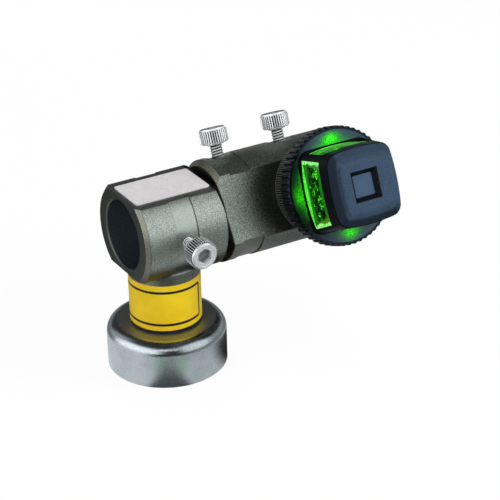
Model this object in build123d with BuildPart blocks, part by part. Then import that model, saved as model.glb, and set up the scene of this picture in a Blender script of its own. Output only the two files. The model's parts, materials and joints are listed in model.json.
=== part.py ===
from build123d import *
import os
from math import cos, radians, sin

# Line laser level: a magnet foot carries a pole socket, and a tilting arm on the
# socket carries a turning laser head. Millimetres, +Z up, the origin is in the
# middle of the magnet face, +X runs along the arm and -Y is the front.

# Clearances
running_gap = 0.05          # radial, between pieces that turn or slide in each other
seat_gap = 0.04             # radial, between pieces that are fixed in each other
face_gap = 0.2              # between flat faces that pass each other

# Magnet foot
base_radius = 22.5
base_height = 18.0
base_edge_radius = 4.8
base_bottom_chamfer = 0.5
magnet_radius = 18.0
magnet_depth = 10.0
magnet_recess = 0.2
core_radius = 8.0
stud_radius = 4.0
stud_in_core = 6.0
stud_in_neck = 9.0

# Neck
washer_thickness = 1.2
neck_radius = 13.5
neck_length = 22.5
band_thickness = 0.3
band_height = 18.5
neck_tenon_radius = 8.0
neck_tenon_share = 0.55     # of the socket's floor

# Section shared by the socket and the arm: round, with two flats
pole_bore_radius = 13.0
flat_wall = 1.7
round_wall = 6.5
groove_depth = 0.4
groove_width = 8.6
tilt_angle = 22.5

# Pole socket
socket_length = 33.6
socket_offset = 0.6
socket_end_wall = 6.0
socket_mouth_chamfer = 1.5
socket_inner_chamfer = 0.8
bore_mouth_chamfer = 0.5
plate_length = 30.0
plate_width = 18.0
plate_thickness = 0.4
plate_corner_radius = 1.0

# Swivel between the socket and the arm
friction_washer_thickness = 0.6
friction_washer_radius = 12.5
spigot_radius = 8.0
spigot_reach = 21.0
spigot_tenon_radius = 6.0
spigot_screw_radius = 3.0
spigot_screw_length = 14.0
spigot_head_radius = 7.4
spigot_head_height = 2.0
groove_in_spigot = 0.8

# Arm
arm_length = 57.0
arm_left_chamfer = 2.0
arm_right_chamfer = 1.5
arm_edge_radius = 0.5       # along the flats of the arm and the socket
tilt_screw_setback = 10.15  # from the arm's left end
head_setback = 39.95        # from the arm's left end to the head's axis
roll_screw_lead = 3.3       # from the head's axis towards the socket

# Knurled screws and their brass tips
thread_radius = 2.5
screw_head_radius = 5.4
screw_head_height = 6.0
screw_head_chamfer = 0.7
hex_width = 5.0
hex_depth = 3.0
pad_radius = 2.2
pad_gap = 0.1
tilt_pad_length = 6.5
roll_pad_length = 3.7
pole_pad_length = 2.0
spot_face_radius = 6.0
spot_face_depth = 0.8
thumb_standoff = 5.1
pole_standoff = 6.0

# Barrel and battery
battery_radius = 8.5
battery_length = 34.5
battery_clearance = 0.5
barrel_wall = 2.0
groove_in_barrel = 1.0
friction_ring_width = 1.2
friction_ring_offset = 9.0
battery_contact_height = 2.4
battery_contact_sheet = 0.4
battery_cap_radius = 14.0
battery_cap_floor = 3.0
battery_cap_edge = 1.2
coin_slot_width = 2.0
coin_slot_depth = 1.5
battery_stud_radius = 3.0
battery_stud_height = 1.0
board_thickness = 1.2
board_inset = 0.8

# Laser
module_radius = 6.5
module_back_gap = 3.0
diode_radius = 2.8
diode_length = 4.5
diode_flange_radius = 4.0
diode_flange_thickness = 1.2
beam_radius = 2.0
lens_radius = 3.4
lens_thickness = 2.0

# Laser head
collar_radius = 18.0
collar_length = 12.0
collar_edge = 0.6
ring_radius = 22.0
ring_thickness = 6.1
ring_lip = 1.4
ring_edge = 0.6
scallop_count = 56
scallop_radius = 0.95
scallop_depth = 0.6
dish_hub_radius = 17.0
dish_flange_thickness = 1.6
dish_depth = 0.8
dish_screw_spread = 9.5
dish_screw_radius = 1.0
dish_screw_reach = 4.0
dish_screw_head_radius = 1.9
dish_screw_head_height = 1.2
cage_foot = 15.6            # half width at the dish, in the middle of a side
cage_foot_corner = 15.5     # the same at the corners, before they are rounded
cage_foot_radius = 4.8
cage_rim = 14.1             # half width at the front rim, in the middle of a bulged side
cage_rim_corner = 13.0
cage_rim_radius = 4.5
cage_height = 16.9
cage_wall = 2.4
cage_sill = 0.5
cage_roof = 1.7
cage_inner_radius = 0.2
window_foot = 12.9          # half length of a window at the dish
window_top = 11.4           # half length of a window at the front
window_setback = 0.5        # behind the cage's side, in the middle
window_bulge_foot = 1.6     # of the lit frames, from their ends to their middle
window_bulge_top = 1.2
window_border = 2.5
window_thickness = 1.2
pane_setback = 0.6
mirror_share = 0.9          # of the room inside the cage
cap_step = 0.3              # from the cage's rim in to the cap's edge
cap_edge_height = 0.5
cap_crown = 1.2
cap_brow_step = 1.9         # from the cap's edge in to where its steep border ends
cap_brow_rise = 0.85
cap_brow_radius = 4.0
cap_plug = 10.4             # half width of the part that sits in the cage
cap_plug_radius = 2.0
cap_plug_length = 2.8
cap_plateau = 9.2
cap_plateau_corner = 8.7
cap_plateau_radius = 3.0
cap_shoulder_round = 0.4
cap_brow_round = 6.0
cap_plateau_round = 10.0
cap_wall = 2.4
recess_half = 5.6
recess_floor_half = 4.1
recess_depth = 2.0
recess_floor = 1.1
button_gap = 0.12
button_flange = 0.7
button_flange_height = 0.6
button_travel = 0.5
switch_pocket = 1.0         # depth in the cage's roof
switch_half = 3.0
switch_height = 0.8
switch_stem_radius = 1.7
switch_stem_gap = 0.1

# Worked out from the sizes above
body_flat = pole_bore_radius + flat_wall
body_radius = pole_bore_radius + round_wall
neck_foot = base_height + washer_thickness
neck_top = neck_foot + neck_length
arm_height = neck_top + body_flat
socket_left = socket_offset - socket_length / 2
socket_right = socket_offset + socket_length / 2
socket_floor = socket_right - socket_end_wall
arm_left = socket_right + friction_washer_thickness + running_gap
tilt_screw_x = arm_left + tilt_screw_setback
head_x = arm_left + head_setback
roll_screw_x = head_x - roll_screw_lead
hole_radius = thread_radius + running_gap
barrel_bore = battery_radius + battery_clearance
barrel_radius = barrel_bore + barrel_wall
bearing_radius = barrel_radius + running_gap

# Directions of the tilted arm: head_axis runs out of the laser head, screw_axis
# out of the thumb screws
tilt = radians(tilt_angle)
head_axis = Vector(0, -cos(tilt), sin(tilt))
screw_axis = Vector(0, sin(tilt), cos(tilt))
arm_axis = Vector(1, 0, 0)
front_axis = Vector(0, -1, 0)
head_origin = Vector(head_x, 0, arm_height)
head_line = Axis(head_origin, head_axis)
arm_line = Axis((0, 0, arm_height), arm_axis)
arm_section = Plane(origin=(0, 0, arm_height), x_dir=arm_axis, z_dir=front_axis)
head_plane = Plane(origin=head_origin, x_dir=arm_axis, z_dir=head_axis)
head_section = Plane(origin=head_origin, x_dir=arm_axis, z_dir=-screw_axis)
head_side = Plane(origin=head_origin, x_dir=screw_axis, z_dir=arm_axis)

# Stations along the head axis, counted from the arm axis
collar_back = body_flat + face_gap
ring_back = collar_back + collar_length
ring_front = ring_back + ring_thickness
flange_back = ring_front - dish_flange_thickness
cage_back = ring_front - dish_depth
cage_front = cage_back + cage_height
cap_seat = cage_front - cap_plug_length
cage_room = cap_seat - cage_roof
switch_seat = cap_seat - switch_pocket
cap_shoulder = cage_front + cap_edge_height
cap_brow = cap_shoulder + cap_brow_rise
cap_front = cap_shoulder + cap_crown
recess_level = cap_front - recess_depth
recess_back = recess_level - recess_floor
board_back = collar_back + board_inset
board_front = board_back + board_thickness
battery_front = board_back - battery_stud_height
battery_back = battery_front - battery_length
cap_floor_level = battery_back - battery_contact_height
battery_cap_back = cap_floor_level - battery_cap_floor
battery_cap_front = -(body_flat + face_gap)
barrel_back = cap_floor_level + running_gap
module_back = board_front + module_back_gap
lens_front = cage_back - running_gap
lens_back = lens_front - lens_thickness
ring_lip_radius = ring_radius - ring_lip

pieces = {}


def across(x):
    """Section plane of the socket: local x is +Y and local y is +Z."""
    return Plane(origin=(x, 0, arm_height), x_dir=(0, 1, 0), z_dir=arm_axis)


def across_arm(x):
    """Section plane of the tilted arm: local x is away from the head, local y along the screws."""
    return Plane(origin=(x, 0, arm_height), x_dir=-head_axis, z_dir=arm_axis)


def screw_plane(x, axis):
    """Plane across a lock screw, on the arm axis, looking out along the screw."""
    return Plane(origin=(x, 0, arm_height), x_dir=arm_axis, z_dir=axis)


def turned(points, section, line):
    """Solid of revolution from a closed profile."""
    with BuildPart() as piece:
        with BuildSketch(section):
            with BuildLine():
                Polyline(*points, close=True)
            make_face()
        revolve(axis=line)
    return piece


def turned_edge(x, inward, size):
    """Ring to cut from a bar's end for a turned chamfer; inward is +1 or -1 along X."""
    corners = [
        (x, body_radius - size),
        (x, body_radius + size),
        (x + inward * 2 * size, body_radius + size),
    ]
    return turned(corners, arm_section, arm_line)


def flat_edges(bar, outward):
    """Long edges of a bar's two flats, which face outward and the opposite way."""
    return bar.edges().filter_by(Axis.X).filter_by(
        lambda edge: abs(abs((edge.center() - arm_line.position).dot(outward)) - body_flat) < seat_gap
    )


def lock_screw(x, axis, tip_level, head_level):
    """Knurled hex-socket screw standing on the arm axis, head outwards."""
    plane = screw_plane(x, axis)
    with BuildPart() as screw:
        with BuildSketch(plane.offset(tip_level)):
            Circle(thread_radius)
        extrude(amount=head_level - tip_level)
        with BuildSketch(plane.offset(head_level)):
            Circle(screw_head_radius)
        extrude(amount=screw_head_height)
        top = screw.faces().sort_by(Axis((0, 0, 0), axis))[-1]
        chamfer(top.edges(), screw_head_chamfer)
        with BuildSketch(plane.offset(head_level + screw_head_height)):
            RegularPolygon(hex_width / 2, 6, major_radius=False)
        extrude(amount=-hex_depth, mode=Mode.SUBTRACT)
    return screw


def lock_pad(x, axis, low, high):
    """Brass tip between a lock screw and what it presses on."""
    with BuildPart() as pad:
        with BuildSketch(screw_plane(x, axis).offset(low)):
            Circle(pad_radius)
        extrude(amount=high - low)
    return pad


def bulged_square(level, half_width, corner, radius):
    """Square outline with bulged sides and rounded corners, across the head at a level."""
    with BuildSketch(head_plane.offset(level)) as outline:
        with BuildLine():
            ThreePointArc((corner, -corner), (half_width, 0), (corner, corner))
            ThreePointArc((corner, corner), (0, half_width), (-corner, corner))
            ThreePointArc((-corner, corner), (-half_width, 0), (-corner, -corner))
            ThreePointArc((-corner, -corner), (0, -half_width), (corner, -corner))
        make_face()
        fillet(outline.vertices(), radius)
    return outline.sketch


def edges_at(piece, level):
    """Edges of a head piece that lie across the head at a level."""
    here = head_origin + head_axis * level
    return piece.edges().filter_by(
        lambda edge: all(abs((v.center() - here).dot(head_axis)) < seat_gap for v in edge.vertices())
    )


def along_cage(foot, rim, level):
    """Size at a level of the cage, which tapers from its foot to its rim."""
    return foot + (rim - foot) * (level - cage_back) / cage_height


def cage_block(inset, high, foot_radius, high_radius):
    """Tapered block from the dish up to a level, this far inside the cage's outer faces."""
    high_half = along_cage(cage_foot, cage_rim, high) - inset
    high_corner = along_cage(cage_foot_corner, cage_rim_corner, high) - inset
    with BuildPart() as block:
        add(bulged_square(cage_back, cage_foot - inset, cage_foot_corner - inset, foot_radius))
        add(bulged_square(high, high_half, high_corner, high_radius))
        loft(ruled=True)
    return block


def light_block(inset):
    """Tapered block with bulged sides, this far inside the outer faces of the lit frames."""
    foot_half = cage_foot - window_setback - inset
    rim_half = cage_rim - window_setback - inset
    with BuildPart() as block:
        add(bulged_square(cage_back, foot_half, foot_half - window_bulge_foot, cage_inner_radius))
        add(bulged_square(cage_front, rim_half, rim_half - window_bulge_top, cage_inner_radius))
        loft(ruled=True)
    return block


def window_prisms(border):
    """Two crossed prisms with the windows' outline, this far inside the openings."""
    low = cage_back + cage_sill + border
    high = cage_room - border
    wide = window_foot - border
    narrow = window_top - border
    with BuildPart() as prisms:
        for plane in (head_side, head_section):
            with BuildSketch(plane):
                with BuildLine():
                    Polyline((-wide, low), (wide, low), (narrow, high), (-narrow, high), close=True)
                make_face()
            extrude(amount=2 * cage_foot, both=True)
    return prisms


# Magnet foot: pot, ring magnet, core and stud
with BuildPart() as magnet_cup:
    with BuildSketch():
        Circle(base_radius)
    extrude(amount=base_height)
    fillet(magnet_cup.faces().sort_by(Axis.Z)[-1].edges(), base_edge_radius)
    chamfer(magnet_cup.faces().sort_by(Axis.Z)[0].edges(), base_bottom_chamfer)
    with BuildSketch():
        Circle(magnet_radius + seat_gap)
    extrude(amount=magnet_depth, mode=Mode.SUBTRACT)
    with BuildSketch():
        Circle(stud_radius + seat_gap)
    extrude(amount=base_height, mode=Mode.SUBTRACT)
pieces["magnet_cup"] = magnet_cup

with BuildPart() as ring_magnet:
    with BuildSketch(Plane.XY.offset(magnet_recess)):
        Circle(magnet_radius)
        Circle(core_radius + seat_gap, mode=Mode.SUBTRACT)
    extrude(amount=magnet_depth - magnet_recess)
pieces["ring_magnet"] = ring_magnet

with BuildPart() as pole_core:
    with BuildSketch():
        Circle(core_radius)
    extrude(amount=magnet_depth)
    with BuildSketch(Plane.XY.offset(magnet_depth - stud_in_core)):
        Circle(stud_radius + seat_gap)
    extrude(amount=stud_in_core, mode=Mode.SUBTRACT)
pieces["pole_core"] = pole_core

with BuildPart() as base_stud:
    with BuildSketch(Plane.XY.offset(magnet_depth - stud_in_core)):
        Circle(stud_radius)
    extrude(amount=stud_in_core + neck_foot - magnet_depth + stud_in_neck)
pieces["base_stud"] = base_stud

# Neck: washer, post and wrap band
with BuildPart() as base_washer:
    with BuildSketch(Plane.XY.offset(base_height)):
        Circle(neck_radius)
        Circle(stud_radius + seat_gap, mode=Mode.SUBTRACT)
    extrude(amount=washer_thickness)
pieces["base_washer"] = base_washer

neck_tenon = flat_wall * neck_tenon_share
with BuildPart() as neck_post:
    with BuildSketch(Plane.XY.offset(neck_foot)):
        Circle(neck_radius)
    extrude(amount=neck_length)
    with BuildSketch(Plane.XY.offset(neck_top)):
        Circle(neck_tenon_radius)
    extrude(amount=neck_tenon)
    with BuildSketch(Plane.XY.offset(neck_foot)):
        Circle(neck_radius)
        Circle(neck_radius - band_thickness - seat_gap, mode=Mode.SUBTRACT)
    extrude(amount=band_height, mode=Mode.SUBTRACT)
    with BuildSketch(Plane.XY.offset(neck_foot)):
        Circle(stud_radius + seat_gap)
    extrude(amount=stud_in_neck, mode=Mode.SUBTRACT)
pieces["neck_post"] = neck_post

with BuildPart() as neck_band:
    with BuildSketch(Plane.XY.offset(neck_foot)):
        Circle(neck_radius)
        Circle(neck_radius - band_thickness, mode=Mode.SUBTRACT)
    extrude(amount=band_height)
pieces["neck_band"] = neck_band

# Pole socket: a blind bore opens to the left, and the end wall holds the swivel
with BuildPart() as socket_bracket:
    with BuildSketch(across(socket_left)):
        Circle(body_radius)
        Rectangle(2 * body_radius, 2 * body_flat, mode=Mode.INTERSECT)
    extrude(amount=socket_length)
    fillet(flat_edges(socket_bracket, Vector(0, 0, 1)), arm_edge_radius)
    add(turned_edge(socket_left, 1, socket_mouth_chamfer).part, mode=Mode.SUBTRACT)
    add(turned_edge(socket_right, -1, socket_inner_chamfer).part, mode=Mode.SUBTRACT)
    with BuildSketch(across(socket_offset - groove_width / 2)):
        Circle(body_radius + groove_depth)
        Circle(body_radius - groove_depth, mode=Mode.SUBTRACT)
    extrude(amount=groove_width, mode=Mode.SUBTRACT)
    with BuildSketch(across(socket_left)):
        Circle(pole_bore_radius)
    extrude(amount=socket_length - socket_end_wall, mode=Mode.SUBTRACT)
    mouth = socket_bracket.faces().sort_by(Axis.X)[0].inner_wires()[0]
    chamfer(mouth.edges(), bore_mouth_chamfer)
    with BuildSketch(across(socket_floor)):
        Circle(spigot_head_radius + seat_gap)
    extrude(amount=spigot_head_height, mode=Mode.SUBTRACT)
    with BuildSketch(across(socket_floor)):
        Circle(spigot_tenon_radius + seat_gap)
    extrude(amount=socket_end_wall, mode=Mode.SUBTRACT)
    with BuildSketch(screw_plane(socket_offset, front_axis)):
        Circle(hole_radius)
    extrude(amount=body_radius, mode=Mode.SUBTRACT)
    with BuildSketch(Plane.XY.offset(neck_top)):
        Circle(neck_tenon_radius + seat_gap)
    extrude(amount=neck_tenon, mode=Mode.SUBTRACT)
pieces["socket_bracket"] = socket_bracket

plate_plane = Plane((socket_offset, 0, arm_height + body_flat))
with BuildPart() as name_plate:
    with BuildSketch(plate_plane):
        RectangleRounded(plate_length, plate_width, plate_corner_radius)
    extrude(amount=plate_thickness)
pieces["name_plate"] = name_plate

# Swivel: spigot with its retaining screw, and the friction washer
tilt_groove_width = 2 * (pad_radius + face_gap)
tenon_back = socket_floor + spigot_head_height
with BuildPart() as swivel_spigot:
    with BuildSketch(across(tenon_back)):
        Circle(spigot_tenon_radius)
    extrude(amount=socket_right - tenon_back)
    with BuildSketch(across(socket_right)):
        Circle(spigot_radius)
    extrude(amount=spigot_reach)
    with BuildSketch(across(tilt_screw_x - tilt_groove_width / 2)):
        Circle(spigot_radius)
        Circle(spigot_radius - groove_in_spigot, mode=Mode.SUBTRACT)
    extrude(amount=tilt_groove_width, mode=Mode.SUBTRACT)
    chamfer(swivel_spigot.faces().sort_by(Axis.X)[-1].edges(), groove_in_spigot)
    with BuildSketch(across(tenon_back)):
        Circle(spigot_screw_radius + seat_gap)
    extrude(amount=spigot_screw_length, mode=Mode.SUBTRACT)
pieces["swivel_spigot"] = swivel_spigot

with BuildPart() as spigot_screw:
    with BuildSketch(across(socket_floor)):
        Circle(spigot_head_radius)
    extrude(amount=spigot_head_height)
    with BuildSketch(across(socket_floor)):
        RegularPolygon(hex_width / 2, 6, major_radius=False)
    extrude(amount=spigot_head_height / 2, mode=Mode.SUBTRACT)
    with BuildSketch(across(tenon_back)):
        Circle(spigot_screw_radius)
    extrude(amount=spigot_screw_length)
pieces["spigot_screw"] = spigot_screw

with BuildPart() as friction_washer:
    with BuildSketch(across(socket_right)):
        Circle(friction_washer_radius)
        Circle(spigot_radius + seat_gap, mode=Mode.SUBTRACT)
    extrude(amount=friction_washer_thickness)
pieces["friction_washer"] = friction_washer

# Arm: the same section turned through a right angle, with flats to the front and back
with BuildPart() as arm_housing:
    with BuildSketch(across_arm(arm_left)):
        Circle(body_radius)
        Rectangle(2 * body_flat, 2 * body_radius, mode=Mode.INTERSECT)
    extrude(amount=arm_length)
    fillet(flat_edges(arm_housing, head_axis), arm_edge_radius)
    add(turned_edge(arm_left, 1, arm_left_chamfer).part, mode=Mode.SUBTRACT)
    add(turned_edge(arm_left + arm_length, -1, arm_right_chamfer).part, mode=Mode.SUBTRACT)
    with BuildSketch(across_arm(tilt_screw_x - groove_width / 2)):
        Circle(body_radius + groove_depth)
        Circle(body_radius - groove_depth, mode=Mode.SUBTRACT)
    extrude(amount=groove_width, mode=Mode.SUBTRACT)
    with BuildSketch(across_arm(arm_left)):
        Circle(spigot_radius + running_gap)
    extrude(amount=spigot_reach + face_gap, mode=Mode.SUBTRACT)
    with BuildSketch(head_plane):
        Circle(bearing_radius)
    extrude(amount=body_radius, both=True, mode=Mode.SUBTRACT)
    for screw_x in (tilt_screw_x, roll_screw_x):
        with BuildSketch(screw_plane(screw_x, screw_axis)):
            Circle(hole_radius)
        extrude(amount=body_radius, mode=Mode.SUBTRACT)
        with BuildSketch(screw_plane(screw_x, screw_axis).offset(body_radius - spot_face_depth)):
            Circle(spot_face_radius)
        extrude(amount=spot_face_depth, mode=Mode.SUBTRACT)
pieces["arm_housing"] = arm_housing

# Lock screws and their tips
thumb_level = body_radius - spot_face_depth + thumb_standoff
pole_level = body_radius - groove_depth + pole_standoff
locks = {
    "tilt": (tilt_screw_x, screw_axis, spigot_radius - groove_in_spigot, tilt_pad_length, thumb_level),
    "roll": (roll_screw_x, screw_axis, barrel_radius - groove_in_barrel, roll_pad_length, thumb_level),
    "pole": (socket_offset, front_axis, pole_bore_radius, pole_pad_length, pole_level),
}
for lock, (screw_x, axis, contact, pad_length, head_level) in locks.items():
    tip_level = contact + pad_gap + pad_length
    pieces[f"{lock}_pad"] = lock_pad(screw_x, axis, contact + pad_gap, tip_level)
    pieces[f"{lock}_screw"] = lock_screw(screw_x, axis, tip_level, head_level)

# Barrel: tube through the arm, with a groove for the lock and two for rubber rings
roll_groove = pad_radius + face_gap
ring_groove = friction_ring_width / 2 + running_gap
with BuildPart() as barrel_tube:
    with BuildSketch(head_plane.offset(barrel_back)):
        Circle(barrel_radius)
        Circle(barrel_bore, mode=Mode.SUBTRACT)
    extrude(amount=ring_back - barrel_back)
    for middle, half in (
        (0, roll_groove),
        (friction_ring_offset, ring_groove),
        (-friction_ring_offset, ring_groove),
    ):
        with BuildSketch(head_plane.offset(middle - half)):
            Circle(barrel_radius)
            Circle(barrel_radius - groove_in_barrel, mode=Mode.SUBTRACT)
        extrude(amount=2 * half, mode=Mode.SUBTRACT)
pieces["barrel_tube"] = barrel_tube

with BuildPart() as friction_rings:
    for middle in (friction_ring_offset, -friction_ring_offset):
        with BuildSketch(head_plane.offset(middle - friction_ring_width / 2)):
            Circle(barrel_radius)
            Circle(barrel_radius - groove_in_barrel + seat_gap, mode=Mode.SUBTRACT)
        extrude(amount=friction_ring_width)
pieces["friction_rings"] = friction_rings

# Battery cap, contact, cell, stud and driver board
with BuildPart() as battery_cap:
    with BuildSketch(head_plane.offset(battery_cap_back)):
        Circle(battery_cap_radius)
    extrude(amount=battery_cap_front - battery_cap_back)
    chamfer(battery_cap.faces().sort_by(head_line)[0].edges(), battery_cap_edge)
    with BuildSketch(head_plane.offset(cap_floor_level)):
        Circle(barrel_radius + seat_gap)
    extrude(amount=battery_cap_front - cap_floor_level, mode=Mode.SUBTRACT)
    with BuildSketch(head_plane.offset(battery_cap_back)):
        SlotOverall(2 * barrel_radius, coin_slot_width)
    extrude(amount=coin_slot_depth, mode=Mode.SUBTRACT)
pieces["battery_cap"] = battery_cap

contact_half = battery_radius / 2
battery_contact = turned(
    [
        (0, cap_floor_level),
        (barrel_bore - running_gap, cap_floor_level),
        (barrel_bore - running_gap, cap_floor_level + battery_contact_sheet),
        (contact_half, cap_floor_level + battery_contact_sheet),
        (contact_half / 2, battery_back),
        (0, battery_back),
    ],
    head_section,
    head_line,
)
pieces["battery_contact"] = battery_contact

with BuildPart() as battery_cell:
    with BuildSketch(head_plane.offset(battery_back)):
        Circle(battery_radius)
    extrude(amount=battery_length)
pieces["battery_cell"] = battery_cell

with BuildPart() as battery_stud:
    with BuildSketch(head_plane.offset(battery_front)):
        Circle(battery_stud_radius)
    extrude(amount=battery_stud_height)
pieces["battery_stud"] = battery_stud

with BuildPart() as driver_board:
    with BuildSketch(head_plane.offset(board_back)):
        Circle(barrel_bore - running_gap)
    extrude(amount=board_thickness)
pieces["driver_board"] = driver_board

# Laser module, diode and lens
diode_front = module_back + diode_length
laser_module = turned(
    [
        (diode_flange_radius + seat_gap, module_back),
        (module_radius, module_back),
        (module_radius, lens_front),
        (lens_radius + seat_gap, lens_front),
        (lens_radius + seat_gap, lens_back),
        (beam_radius, lens_back),
        (beam_radius, diode_front),
        (diode_radius + seat_gap, diode_front),
        (diode_radius + seat_gap, module_back + diode_flange_thickness),
        (diode_flange_radius + seat_gap, module_back + diode_flange_thickness),
    ],
    head_section,
    head_line,
)
pieces["laser_module"] = laser_module

with BuildPart() as laser_diode:
    with BuildSketch(head_plane.offset(board_front)):
        Circle(diode_flange_radius / 2)
    extrude(amount=module_back - board_front)
    with BuildSketch(head_plane.offset(module_back)):
        Circle(diode_flange_radius)
    extrude(amount=diode_flange_thickness)
    with BuildSketch(head_plane.offset(module_back)):
        Circle(diode_radius)
    extrude(amount=diode_length)
pieces["laser_diode"] = laser_diode

with BuildPart() as collimator_lens:
    with BuildSketch(head_plane.offset(lens_back)):
        Circle(lens_radius)
    extrude(amount=lens_thickness)
    fillet(collimator_lens.faces().sort_by(head_line)[-1].edges(), lens_thickness / 2)
pieces["collimator_lens"] = collimator_lens

# Collar, dish and scalloped ring
with BuildPart() as knurled_collar:
    with BuildSketch(head_plane.offset(collar_back)):
        Circle(collar_radius)
    extrude(amount=collar_length)
    chamfer(knurled_collar.edges(), collar_edge)
    with BuildSketch(head_plane.offset(collar_back)):
        Circle(barrel_radius + seat_gap)
    extrude(amount=collar_length, mode=Mode.SUBTRACT)
    with BuildSketch(head_plane.offset(ring_back)):
        with GridLocations(2 * dish_screw_spread, 2 * dish_screw_spread, 2, 2):
            Circle(dish_screw_radius + seat_gap)
    extrude(amount=-dish_screw_reach, mode=Mode.SUBTRACT)
pieces["knurled_collar"] = knurled_collar

dish_profile = [
    (module_radius + seat_gap, ring_back),
    (dish_hub_radius, ring_back),
    (dish_hub_radius, flange_back),
    (ring_lip_radius, flange_back),
    (ring_lip_radius, ring_front),
    (cage_foot, cage_back),
    (module_radius + seat_gap, cage_back),
]
with BuildPart() as head_dish:
    add(turned(dish_profile, head_section, head_line).part)
    add(bulged_square(cage_back, cage_foot, cage_foot_corner, cage_foot_radius))
    extrude(amount=dish_depth, dir=head_axis, mode=Mode.SUBTRACT)
    with BuildSketch(head_plane.offset(cage_back)):
        with GridLocations(2 * dish_screw_spread, 2 * dish_screw_spread, 2, 2):
            Circle(dish_screw_radius + seat_gap)
    extrude(amount=-(cage_back - ring_back), mode=Mode.SUBTRACT)
pieces["head_dish"] = head_dish

with BuildPart() as dish_screws:
    with BuildSketch(head_plane.offset(ring_back - dish_screw_reach)):
        with GridLocations(2 * dish_screw_spread, 2 * dish_screw_spread, 2, 2):
            Circle(dish_screw_radius)
    extrude(amount=cage_back - ring_back + dish_screw_reach)
    with BuildSketch(head_plane.offset(cage_back)):
        with GridLocations(2 * dish_screw_spread, 2 * dish_screw_spread, 2, 2):
            Circle(dish_screw_head_radius)
    extrude(amount=dish_screw_head_height)
pieces["dish_screws"] = dish_screws

ring_profile = [
    (dish_hub_radius + seat_gap, ring_back),
    (ring_radius - ring_edge, ring_back),
    (ring_radius, ring_back + ring_edge),
    (ring_radius, ring_front - ring_edge),
    (ring_radius - ring_edge, ring_front),
    (ring_lip_radius + seat_gap, ring_front),
    (ring_lip_radius + seat_gap, flange_back),
    (dish_hub_radius + seat_gap, flange_back),
]
with BuildPart() as grip_ring:
    add(turned(ring_profile, head_section, head_line).part)
    with BuildSketch(head_plane.offset(ring_back)):
        with PolarLocations(ring_radius - scallop_depth + scallop_radius, scallop_count):
            Circle(scallop_radius)
    extrude(amount=ring_thickness, mode=Mode.SUBTRACT)
pieces["grip_ring"] = grip_ring

# Tapered cage with a window in each side, a light guide with four bulged frames, and dark panes
cage_outside = cage_block(0, cage_front, cage_foot_radius, cage_rim_radius)
cage_inside = cage_block(cage_wall, cage_room, cage_inner_radius, cage_inner_radius)
with BuildPart() as head_cage:
    add(cage_outside.part)
    add(cage_inside.part, mode=Mode.SUBTRACT)
    add(window_prisms(0).part, mode=Mode.SUBTRACT)
    with BuildSketch(head_plane.offset(cap_seat)):
        RectangleRounded(2 * (cap_plug + seat_gap), 2 * (cap_plug + seat_gap), cap_plug_radius)
    extrude(amount=cap_plug_length, mode=Mode.SUBTRACT)
    with BuildSketch(head_plane.offset(switch_seat)):
        Rectangle(2 * (switch_half + seat_gap), 2 * (switch_half + seat_gap))
    extrude(amount=switch_pocket, mode=Mode.SUBTRACT)
pieces["head_cage"] = head_cage

frame_outside = light_block(0)
frame_inside = light_block(window_thickness)
with BuildPart() as window_frames:
    add(frame_outside.part)
    add(frame_inside.part, mode=Mode.SUBTRACT)
    add(window_prisms(seat_gap).part, mode=Mode.INTERSECT)
    add(window_prisms(window_border).part, mode=Mode.SUBTRACT)
pieces["window_frames"] = window_frames

pane_outside = light_block(pane_setback)
with BuildPart() as window_panes:
    add(pane_outside.part)
    add(frame_inside.part, mode=Mode.SUBTRACT)
    add(window_prisms(window_border + seat_gap).part, mode=Mode.INTERSECT)
pieces["window_panes"] = window_panes

mirror_half = (window_top - window_thickness) * mirror_share
mirror_tip = beam_radius / 2
with BuildPart() as beam_pyramid:
    with BuildSketch(head_plane.offset(cage_room)):
        Rectangle(2 * mirror_half, 2 * mirror_half)
    extrude(amount=-(mirror_half - mirror_tip), taper=45)
pieces["beam_pyramid"] = beam_pyramid

# Pillow cap, power button and switch
cap_hollow = 2 * (cap_plug - cap_wall)
with BuildPart() as head_cap:
    for level, step, radius in (
        (cage_front, cap_step, cage_rim_radius),
        (cap_shoulder, cap_step, cage_rim_radius),
        (cap_brow, cap_step + cap_brow_step, cap_brow_radius),
    ):
        add(bulged_square(level, cage_rim - step, cage_rim_corner - step, radius))
    add(bulged_square(cap_front, cap_plateau, cap_plateau_corner, cap_plateau_radius))
    loft(ruled=True)
    fillet(edges_at(head_cap, cap_shoulder), cap_shoulder_round)
    fillet(edges_at(head_cap, cap_brow), cap_brow_round)
    fillet(edges_at(head_cap, cap_front), cap_plateau_round)
    with BuildSketch(head_plane.offset(cap_seat)):
        RectangleRounded(2 * cap_plug, 2 * cap_plug, cap_plug_radius)
    extrude(amount=cap_plug_length)
    for level, half in ((recess_level, recess_floor_half), (cap_front, recess_half)):
        with BuildSketch(head_plane.offset(level)):
            Rectangle(2 * half, 2 * half)
    loft(ruled=True, mode=Mode.SUBTRACT)
    with BuildSketch(head_plane.offset(cap_seat)):
        RectangleRounded(cap_hollow, cap_hollow, cap_plug_radius)
    extrude(amount=recess_back - cap_seat, mode=Mode.SUBTRACT)
    with BuildSketch(head_plane.offset(recess_back)):
        Rectangle(2 * recess_floor_half, 2 * recess_floor_half)
    extrude(amount=recess_floor, mode=Mode.SUBTRACT)
pieces["head_cap"] = head_cap

button_half = recess_floor_half - button_gap
flange_front = recess_back - button_gap
with BuildPart() as power_button:
    with BuildSketch(head_plane.offset(flange_front - button_flange_height)):
        Rectangle(2 * (recess_floor_half + button_flange), 2 * (recess_floor_half + button_flange))
    extrude(amount=button_flange_height)
    with BuildSketch(head_plane.offset(flange_front)):
        Rectangle(2 * button_half, 2 * button_half)
    extrude(amount=recess_level - flange_front)
pieces["power_button"] = power_button

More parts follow.
